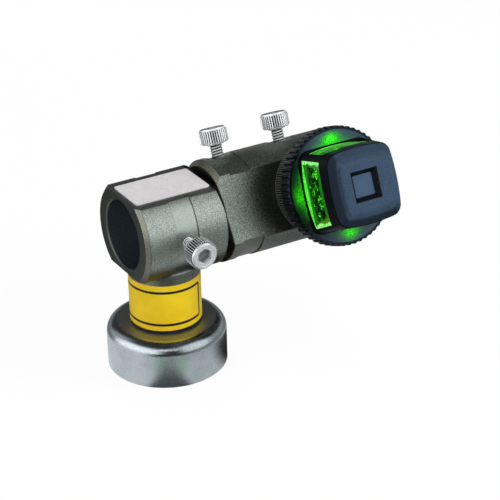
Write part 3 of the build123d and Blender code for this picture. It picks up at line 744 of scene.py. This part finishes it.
def dishSpill(spot):
    # painted light that spills from each window on to the dish, as emission
    sides = headSides(spot)
    outward = larger(*sides)
    aside = smaller(*sides)
    near = falloff(over(minus(dish["foot"], outward), dish["fall"]))
    strip = both(near, fade(aside, *dish["stripEnds"]))
    strip = times(strip, fade(along(spot, screwAxis), *dish["stripGain"]))
    sideways = over(aside, dish["spread"])
    lengthways = over(minus(outward, dish["lobe"]), dish["reach"])
    off = plus(times(sideways, sideways), times(lengthways, lengthways))
    gain = plus(fade(along(spot, screwAxis), *dish["lobeGain"]),
                fade(along(spot, armAxis), *dish["lobeGainLeft"]))
    lobe = times(falloff(times(off, -1.0)), gain)
    spark = cloud(spot, dish["spark"], 3.0, 0.7)
    return times(plus(strip, lobe), fade(spark, *dish["sparkGain"]))


def dishFinish():
    finish, feed, spot = startFinish("litDish", dish["tone"], headCentre)
    skin = cloud(spot, dish["skin"], 2.0)
    spill = dishSpill(spot)
    tone = mottled(skin, dish["tone"], dish["light"])
    # painted shade on the left side of the dish
    leftSide = fade(along(spot, armAxis), *dish["leftShade"])
    tone = blend(leftSide, tone, dish["dark"])
    # darker under the painted light, so that the green reads deep
    lit = fade(spill, *dish["litDark"])
    feed("Emission Color", srgb(dish["green"]))
    feed("Emission Strength", spill)
    return cover(finish, feed, blend(lit, tone, dish["dark"]), skin, dish)


window = dict(
    range=(32.7 * mm, 46.6 * mm), halves=(12.9 * mm, 11.4 * mm),
    footBar=2.2 * mm, footBow=2.1 * mm, endBar=1.5 * mm, topBar=1.1 * mm,
    barSoft=0.25 * mm, wander=2.4 * mm, clouds=2.2 * mm, spark=0.45 * mm,
    glass="#1c8c12", rough=0.18, coat=0.4, relief=(0.03 * mm, 0.4),
    dark="#062f04", green="#2bd511", bright="#55fb2a", white="#c9ffb6",
    whiteEnds=(8 * mm, 12 * mm, 0.15, 0.9), whiteSpark=(0.42, 0.6),
    glow=(0.32, 0.66, 0.5, 1.15), glowInside=0.7,
)


def windowBars(run, aside, broad):
    # above 0 in the bars: a bowed one along the dish, one at each end and one under the cap
    low, high = window["range"]
    footHalf, topHalf = window["halves"]
    share = over(aside, footHalf)
    bow = minus(window["footBar"], times(times(share, share), window["footBow"]))
    footBar = minus(plus(bow, low), run)
    lean = (topHalf - footHalf) / (high - low)
    halfHere = plus(footHalf, times(minus(run, low), lean))
    endBar = minus(window["endBar"], minus(halfHere, aside))
    topBar = minus(window["topBar"], minus(high, run))
    wander = times(minus(broad, 0.5), window["wander"])
    return larger(footBar, plus(larger(endBar, topBar), wander))


def windowFrameFinish():
    # painted highlight, nearly white towards the corners; dark towards the pane
    finish, feed, spot = startFinish("litFrame", window["glass"], headCentre, roughness=window["rough"])
    aside = smaller(*headSides(spot))
    broad = cloud(spot, window["clouds"])
    spark = cloud(spot, window["spark"], 3.0, 0.7)
    inBar = windowBars(along(spot, headAxis), aside, broad)
    bar = above(inBar, 0.0, window["barSoft"])
    tone = mottled(broad, window["green"], window["bright"], (0.36, 0.62))
    white = times(fade(aside, *window["whiteEnds"]), fade(spark, *window["whiteSpark"]))
    tone = blend(white, tone, window["white"])
    feed("Emission Color", blend(bar, window["dark"], tone))
    inside = fade(bar, 0.0, 1.0, window["glowInside"], 1.0)
    feed("Emission Strength", times(fade(spark, *window["glow"]), inside))
    feed("Coat Weight", window["coat"])
    relief(feed, spark, *window["relief"])
    return finish


pane = dict(
    glass="#06140a", warm="#241a0c", rough=0.08, coat=0.5, coatRough=0.04,
    dim="#052204", lit="#137a0f", bright="#4ff52a", clouds=2.4 * mm, spark=0.8 * mm,
    gather=0.7, patch=(0.58, 0.68),
    glow=(0.53, 0.69, 0.22, 1.7), endGlow=(5 * mm, 10 * mm, 0.0, 0.2),
)


def paneFinish():
    finish, feed, spot = startFinish("darkPane", pane["glass"], headCentre, roughness=pane["rough"])
    aside = smaller(*headSides(spot))
    broad = cloud(spot, pane["clouds"])
    spark = cloud(spot, pane["spark"], 5.0, 0.8)
    # painted glints: bright patches gather where the broad cloud is high
    patch = plus(spark, times(minus(broad, 0.5), pane["gather"]))
    tone = mottled(broad, pane["dim"], pane["lit"], (0.4, 0.62))
    tone = blend(fade(patch, *pane["patch"]), tone, pane["bright"])
    feed("Emission Color", tone)
    glow = plus(fade(patch, *pane["glow"]), fade(aside, *pane["endGlow"]))
    feed("Emission Strength", glow)
    feed("Base Color", mottled(broad, pane["glass"], pane["warm"], (0.5, 0.7)))
    feed("Coat Weight", pane["coat"])
    feed("Coat Roughness", pane["coatRough"])
    return finish


# pieces inside

board = dict(green="#17482a", copper="#2b7a48", rough=0.35, relief=(0.02 * mm, 0.5),
             tracks=1.3 * mm, trackEdge=(0.6, 0.8), crossing=2.1 * mm, crossingEdge=(-0.2, 0.2))


def boardFinish():
    finish, feed, spot = startFinish("greenBoard", board["green"], headCentre, roughness=board["rough"])
    tracks = stripes(along(spot, armAxis), board["tracks"])
    crossing = stripes(along(spot, screwAxis), board["crossing"])
    copper = both(fade(tracks, *board["trackEdge"]), fade(crossing, *board["crossingEdge"]))
    feed("Base Color", blend(copper, board["green"], board["copper"]))
    relief(feed, copper, *board["relief"])
    return finish


cell = dict(wrap="#2c4a80", wrapLight="#37599a", ring="#b8bcc2", ringRange=(6 * mm, 11 * mm),
            metal=0.2, rough=(0.28, 0.42), dust=2 * mm)


def cellFinish():
    finish, feed, spot = startFinish("wrappedCell", cell["wrap"], headCentre, cell["metal"])
    dust = cloud(spot, cell["dust"])
    ring = between(along(spot, headAxis), *cell["ringRange"])
    tone = mottled(dust, cell["wrap"], cell["wrapLight"])
    feed("Base Color", blend(ring, tone, cell["ring"]))
    feed("Roughness", uneven(dust, cell["rough"]))
    return finish


lens = dict(glass="#e9f6ee", clear=0.9, bends=1.52, dust=0.8 * mm, rough=(0.02, 0.08))


def lensFinish():
    finish, feed, spot = startFinish("lensGlass", lens["glass"], headCentre)
    dust = cloud(spot, lens["dust"])
    feed("Transmission Weight", lens["clear"])
    feed("IOR", lens["bends"])
    feed("Roughness", uneven(dust, lens["rough"], (0.4, 0.8)))
    return finish


# modelling helpers

tiny = 0.001 * mm
cutPast = 1 * mm


def deselectAll():
    if bpy.context.object and bpy.context.object.mode != "OBJECT":
        bpy.ops.object.mode_set(mode="OBJECT")
    bpy.ops.object.select_all(action="DESELECT")


def makeActive(piece):
    deselectAll()
    piece.select_set(True)
    bpy.context.view_layer.objects.active = piece


def editPicked(piece, kind, test):
    # edit mode, with only what passes the test selected
    makeActive(piece)
    bpy.ops.object.mode_set(mode="EDIT")
    bpy.ops.mesh.select_mode(type=kind)
    bpy.ops.mesh.select_all(action="DESELECT")
    mesh = bmesh.from_edit_mesh(piece.data)
    parts = {"VERT": mesh.verts, "EDGE": mesh.edges, "FACE": mesh.faces}[kind]
    for part in parts:
        part.select_set(bool(test(part)))
    mesh.select_flush_mode()
    bmesh.update_edit_mesh(piece.data)


def editAll(piece):
    editPicked(piece, "VERT", lambda vert: True)


def endEdit():
    bpy.ops.object.mode_set(mode="OBJECT")


def resizePicked(across, up=1):
    bpy.ops.transform.resize(value=(across, across, up), center_override=(0, 0, 0))


def pushPicked(up):
    bpy.ops.mesh.extrude_region_move(TRANSFORM_OT_translate={"value": (0, 0, up)})


def applyPlace():
    bpy.ops.object.transform_apply(location=True, rotation=True, scale=True)


def addRound(sides, radius, low, high):
    deselectAll()
    bpy.ops.mesh.primitive_cylinder_add(vertices=sides, radius=radius, depth=high - low,
                                        end_fill_type="NGON", location=(0, 0, (low + high) / 2))
    applyPlace()
    return bpy.context.object


def bevelRim(piece, level, size, segments=3):
    editPicked(piece, "EDGE", lambda edge: all(abs(vert.co.z - level) < tiny for vert in edge.verts))
    bpy.ops.mesh.bevel(offset=size, segments=segments, affect="EDGES")
    endEdit()


def discard(piece):
    mesh = piece.data
    bpy.data.objects.remove(piece)
    bpy.data.meshes.remove(mesh)


def cutAway(piece, tool):
    cut = piece.modifiers.new("cut", "BOOLEAN")
    cut.operation = "DIFFERENCE"
    cut.solver = "EXACT"
    cut.object = tool
    makeActive(piece)
    bpy.ops.object.modifier_apply(modifier="cut")
    discard(tool)


def boreThrough(piece, sides, radius, low, high):
    cutAway(piece, addRound(sides, radius, low - cutPast, high + cutPast))


def joinPieces(pieces):
    deselectAll()
    for piece in pieces:
        piece.select_set(True)
    bpy.context.view_layer.objects.active = pieces[0]
    bpy.ops.object.join()
    return bpy.context.object


# marks where knurledFinish paints shade
def markShade(piece, test, depth=1.0):
    mark = piece.data.attributes.get("groove") or piece.data.attributes.new("groove", "FLOAT", "POINT")
    for vert in piece.data.vertices:
        if test(vert.co):
            mark.data[vert.index].value = depth


# straight knurl: every ridge is two columns out and two columns in; depths are shares of the ridge
knurl = dict(columns=4, valley=(2, 3), endDepth=1.6, markDepth=0.5, coreDepth=1.15, smooth=28)


def knurlCore(size, low, high):
    return addRound(size["coreSides"], size["radius"] - size["ridgeDepth"] * knurl["coreDepth"], low, high)


def ridgedSleeve(size, low, high):
    radius, depth, runOut = size["radius"], size["ridgeDepth"], size["runOut"]
    columns = size["ridges"] * knurl["columns"]
    sleeve = addRound(columns, radius, low + runOut, high - runOut)
    step = 2 * math.pi / columns

    def inValley(vert):
        return round(math.atan2(vert.co.x, vert.co.y) / step) % knurl["columns"] in knurl["valley"]

    editPicked(sleeve, "VERT", inValley)
    resizePicked((radius - depth) / radius)
    endEdit()
    for way in (1, -1):
        editPicked(sleeve, "FACE", lambda face: face.normal.z * way > 0.9)
        pushPicked(way * runOut)
        resizePicked((radius - depth * knurl["endDepth"]) / radius)
        endEdit()
    # painted shade in the knurl valleys
    markShade(sleeve, lambda co: math.hypot(co.x, co.y) < radius - depth * knurl["markDepth"])
    return sleeve


def smoothShade(piece, angle):
    makeActive(piece)
    bpy.ops.object.shade_smooth_by_angle(angle=math.radians(angle))


def standOn(piece, point, axis):
    turn = axis.to_track_quat("Z", "Y").to_matrix().to_4x4()
    piece.data.transform(Matrix.Translation(point) @ turn)
    piece.data.update()


def dress(piece, name, finish, body, node):
    piece.name = name
    piece.data.name = name
    piece.data.materials.clear()
    piece.data.materials.append(finish)
    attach(piece, body)
    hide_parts(node)


# knurled lock screws

screw = dict(
    radius=5.4 * mm, height=6.0 * mm, coreSides=72, rim=0.75 * mm, footRim=0.45 * mm,
    faceInset=0.18 * mm, faceStep=0.14 * mm, faceMark=0.02 * mm,
    ridges=36, ridgeDepth=0.42 * mm, runOut=0.22 * mm, knurlFoot=0.3 * mm, knurlWall=1.2 * mm,
    hexWidth=5.2 * mm, hexDepth=2.6 * mm, hexShade=0.48, hexMarkRange=(1 * mm, 0.8 * mm),
    mouthSides=48, mouthDeep=0.3 * mm, mouthOver=0.25 * mm, mouthShrink=0.84,
    shank=10.0 * mm, shankSides=36, shankInto=0.4 * mm, shankTip=0.35 * mm,
    crest=2.5 * mm, root=2.08 * mm, pitch=1.0 * mm, threadSteps=24, threadSink=0.12 * mm,
    threadWide=0.84,
    shoulder=dict(sides=48, radius=3.3 * mm, low=-0.45 * mm, high=0.3 * mm, edge=0.25 * mm),
    places=dict(
        tilt=dict(joint="tilt_turn", out=1, level=23.8 * mm, faceShade=0.85),
        roll=dict(joint="roll_turn", out=1, level=23.8 * mm, faceShade=0.85),
        pole=dict(joint="pole_turn", out=-1, level=25.1 * mm, faceShade=0.0),
    ),
)


def screwThread():
    # one V section, a triangle 1.5 of its radius high, wound up the shank by the Screw modifier
    crest, root, pitch = screw["crest"], screw["root"], screw["pitch"]
    wide = (crest - root + screw["threadSink"]) / 1.5
    deselectAll()
    bpy.ops.mesh.primitive_circle_add(vertices=3, radius=wide, fill_type="NOTHING")
    thread = bpy.context.object
    thread.matrix_world = Matrix(((0, 1, 0, 0), (0, 0, 1, 0), (1, 0, 0, 0), (0, 0, 0, 1)))
    applyPlace()
    editAll(thread)
    resizePicked(1, pitch * screw["threadWide"] / math.sqrt(3) / wide)
    bpy.ops.transform.translate(value=(crest - wide, 0, -screw["shank"] + pitch * 0.5))
    endEdit()
    wind = thread.modifiers.new("wind", "SCREW")
    wind.axis = "Z"
    wind.angle = 2 * math.pi
    wind.screw_offset = pitch
    wind.iterations = int(screw["shank"] / pitch) - 1
    wind.steps = wind.render_steps = screw["threadSteps"]
    wind.use_merge_vertices = True
    wind.merge_threshold = tiny
    makeActive(thread)
    bpy.ops.object.modifier_apply(modifier="wind")
    editAll(thread)
    bpy.ops.mesh.fill_holes(sides=0)
    endEdit()
    editAll(thread)
    bpy.ops.mesh.normals_make_consistent(inside=False)
    endEdit()
    # painted shade at the thread roots
    markShade(thread, lambda co: math.hypot(co.x, co.y) < (crest + root) / 2)
    return thread


def screwHead():
    top = screw["height"]
    face = top - screw["faceStep"]
    hexRadius = screw["hexWidth"] / math.sqrt(3)
    core = knurlCore(screw, 0, top)
    bevelRim(core, top, screw["rim"])
    bevelRim(core, 0, screw["footRim"], 2)
    editPicked(core, "FACE", lambda end: end.normal.z > 0.99 and end.calc_center_median().z > face)
    bpy.ops.mesh.inset(thickness=screw["faceInset"])
    pushPicked(-screw["faceStep"])
    endEdit()
    cutAway(core, addRound(6, hexRadius, top - screw["hexDepth"], top + cutPast))
    mouth = addRound(screw["mouthSides"], hexRadius, face - screw["mouthDeep"],
                     face + screw["mouthOver"])
    editPicked(mouth, "VERT", lambda vert: vert.co.z < face)
    resizePicked(screw["mouthShrink"])
    endEdit()
    cutAway(core, mouth)
    low, drop = screw["hexMarkRange"]

    def inHex(co):
        return low < co.z < face - drop and math.hypot(co.x, co.y) < screw["hexWidth"]

    # painted shade down the hex socket, darker towards its floor
    markShade(core, inHex, screw["hexShade"])
    return core


def makeLockScrew():
    top = screw["height"]
    core = screwHead()
    sleeve = ridgedSleeve(screw, screw["knurlFoot"], top - screw["rim"])
    boreThrough(sleeve, screw["coreSides"], screw["radius"] - screw["knurlWall"], 0, top)
    shank = addRound(screw["shankSides"], screw["root"], -screw["shank"], screw["shankInto"])
    bevelRim(shank, -screw["shank"], screw["shankTip"], 2)
    # painted shade over the whole shank
    markShade(shank, lambda co: True)
    step = screw["shoulder"]
    shoulder = addRound(step["sides"], step["radius"], step["low"], step["high"])
    bevelRim(shoulder, step["low"], step["edge"], 2)
    piece = joinPieces([core, sleeve, shank, shoulder, screwThread()])
    smoothShade(piece, knurl["smooth"])
    return piece


def fitLockScrews(finishes):
    model = makeLockScrew()
    faceLevel = screw["height"] - screw["faceStep"] - screw["faceMark"]
    for which, spot in screw["places"].items():
        piece = model.copy()
        piece.data = model.data.copy()
        bpy.context.scene.collection.objects.link(piece)
        # painted shade on the top face, for the tilt and roll screws
        markShade(piece, lambda co: co.z > faceLevel, spot["faceShade"])
        axis = Vector(joints[spot["joint"]]["axis"]) * spot["out"]
        standOn(piece, Vector(joints[spot["joint"]]["pos_m"]) + axis * spot["level"], axis)
        dress(piece, which + "LockScrew", finishes[which], which + "_knob", which + "_screw")
    discard(model)


# knurled collar and battery cap

collar = dict(
    radius=18.0 * mm, low=14.9 * mm, high=26.9 * mm, bore=11.04 * mm,
    coreSides=128, boreSides=96,
    ridges=124, ridgeDepth=0.3 * mm, runOut=0.3 * mm, sleeveBore=16.04 * mm,
    plain=1.0 * mm, edge=0.5 * mm,
)


def makeCollar(finish):
    low, high = collar["low"], collar["high"]
    core = knurlCore(collar, low, high)
    bevelRim(core, low, collar["edge"])
    bevelRim(core, high, collar["edge"])
    sleeve = ridgedSleeve(collar, low + collar["plain"], high - collar["plain"])
    boreThrough(core, collar["boreSides"], collar["bore"], low, high)
    boreThrough(sleeve, collar["boreSides"], collar["sleeveBore"], low, high)
    piece = joinPieces([core, sleeve])
    smoothShade(piece, knurl["smooth"])
    standOn(piece, headCentre, headAxis)
    dress(piece, "gripCollar", finish, "head", "knurled_collar")


coin = dict(
    radius=14.0 * mm, back=-25.2 * mm, front=-14.9 * mm, floor=-22.2 * mm, bore=11.04 * mm,
    coreSides=112, boreSides=96, backEdge=1.2 * mm, frontEdge=0.4 * mm,
    ridges=72, ridgeDepth=0.4 * mm, runOut=0.4 * mm, sleeveBore=12.54 * mm,
    plainBack=1.5 * mm, plainFront=1.0 * mm,
    slotLong=20.3 * mm, slotWide=2.0 * mm, slotDeep=1.5 * mm, slotRound=0.98 * mm,
    slotShade=0.85,
)


def makeBatteryCap(finish):
    back, front = coin["back"], coin["front"]
    core = knurlCore(coin, back, front)
    bevelRim(core, back, coin["backEdge"], 4)
    bevelRim(core, front, coin["frontEdge"], 2)
    cutAway(core, addRound(coin["boreSides"], coin["bore"], coin["floor"], front + cutPast))
    deselectAll()
    bpy.ops.mesh.primitive_cube_add(size=1, location=(0, 0, back))
    slot = bpy.context.object
    slot.scale = (coin["slotLong"], coin["slotWide"], coin["slotDeep"] * 2)
    applyPlace()
    editPicked(slot, "EDGE", lambda edge: abs(edge.verts[0].co.z - edge.verts[1].co.z) > mm)
    bpy.ops.mesh.bevel(offset=coin["slotRound"], segments=5, affect="EDGES")
    endEdit()
    cutAway(core, slot)
    slotFloor = back + coin["slotDeep"]

    def inSlot(co):
        return abs(co.z - slotFloor) < 0.1 * mm and abs(co.y) < coin["slotWide"]

    # painted shade in the slot
    markShade(core, inSlot, coin["slotShade"])
    sleeve = ridgedSleeve(coin, back + coin["plainBack"], front - coin["plainFront"])
    boreThrough(sleeve, coin["boreSides"], coin["sleeveBore"], back, front)
    cap = joinPieces([core, sleeve])
    smoothShade(cap, knurl["smooth"])
    standOn(cap, headCentre, headAxis)
    dress(cap, "coinCap", finish, "head", "battery_cap")


# lit window frames

windowFrame = dict(weld=0.002 * mm, flatAngle=2, bevel=0.45 * mm, segments=3, groundAngle=40)


def makeWindowFrames(finish):
    # the CAD frames with their edges ground round
    deselectAll()
    frames = nodes["window_frames"].copy()
    frames.data = nodes["window_frames"].data.copy()
    frames.parent = None
    for key in list(frames.keys()):
        if key.startswith("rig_"):
            del frames[key]
    bpy.context.scene.collection.objects.link(frames)
    editAll(frames)
    bpy.ops.mesh.remove_doubles(threshold=windowFrame["weld"])
    bpy.ops.mesh.dissolve_limited(angle_limit=math.radians(windowFrame["flatAngle"]))
    endEdit()
    ground = frames.modifiers.new("ground", "BEVEL")
    ground.width = windowFrame["bevel"]
    ground.segments = windowFrame["segments"]
    ground.limit_method = "ANGLE"
    ground.angle_limit = math.radians(windowFrame["groundAngle"])
    makeActive(frames)
    bpy.ops.object.modifier_apply(modifier="ground")
    smoothShade(frames, windowFrame["groundAngle"])
    dress(frames, "litFrames", finish, "head", "window_frames")


# put it together

aimCamera()
hangLamps()
lightRoom()
layFloor()
print("camera, floor and lamps set")

finishes = (
    (platedFinish("brightSteel", "#cfd4d7", "#b7bec2", 0.2),
     "base_stud swivel_spigot battery_contact battery_stud laser_diode"),
    (platedFinish("darkSteel", "#5a5f62", "#484c4f", 0.32), "spigot_screw dish_screws"),
    (platedFinish("brass", "#b8933f", "#a07c30", 0.28), "laser_module tilt_pad roll_pad pole_pad"),
    (platedFinish("coreSteel", "#a9aeb1", "#92989c", 0.3), "pole_core"),
    (platedFinish("mirrorFace", "#e6eae8", "#dde2df", 0.08), "beam_pyramid"),
    (platedFinish("blackAlloy", "#26282b", "#1d1f21", 0.38), "barrel_tube"),
    (mouldedFinish("blackMould", "#010102", "#040609", 0.2, shine=0.62, tint="#8fa9cc"),
     "grip_ring tact_switch"),
    (mouldedFinish("cageMould", "#05070a", "#0c0f14", 0.36, shine=0.14, tint="#8fa9cc"), "head_cage"),
    (mouldedFinish("buttonSkin", "#394d63", "#465b73", 0.6, 0.28 * mm, 0.035 * mm), "power_button"),
    (rubberFinish("blackRubber", "#121313", "#1e2020"), "friction_rings"),
    (rubberFinish("fibreWasher", "#0e0f0f", "#191a1a"), "base_washer friction_washer"),
    (rubberFinish("ferrite", "#2b2d2f", "#3a3c3e"), "ring_magnet"),
    (cupFinish(), "magnet_cup"),
    (neckFinish(), "neck_post"),
    (bandFinish(), "neck_band"),
    (castingFinish("socketPaint", casting["socket"], upAxis), "socket_bracket"),
    (castingFinish("armPaint", casting["arm"], headAxis), "arm_housing"),
    (plateFinish(), "name_plate"),
    (cellFinish(), "battery_cell"),
    (boardFinish(), "driver_board"),
    (lensFinish(), "collimator_lens"),
    (dishFinish(), "head_dish"),
    (paneFinish(), "window_panes"),
    (capFinish(), "head_cap"),
)
finished = 0
for finish, names in finishes:
    for name in names.split():
        finished += 1
        for slot in nodes[name].material_slots:
            slot.material = finish
print("finishes on", finished, "CAD pieces")

screwSteel = knurledFinish("knurledSteel", "#f6f9fa", "#eceff1", "#08090a", 0.54, 0.22)
poleSteel = knurledFinish("poleSteel", "#f6f9fb", "#ecf0f2", "#020303", 0.6, 0.2, (0.12, 0.7))
fitLockScrews(dict(tilt=screwSteel, roll=screwSteel, pole=poleSteel))
print("lock screws fitted")
makeCollar(knurledFinish("collarMetal", "#75786f", "#666961", "#040404", 0.6, 0.36))
makeBatteryCap(knurledFinish("capAlloy", "#4a4d50", "#3f4245", "#0c0d0e", 0.6, 0.36))
print("collar and battery cap made")
makeWindowFrames(windowFrameFinish())
print("window frames lit")
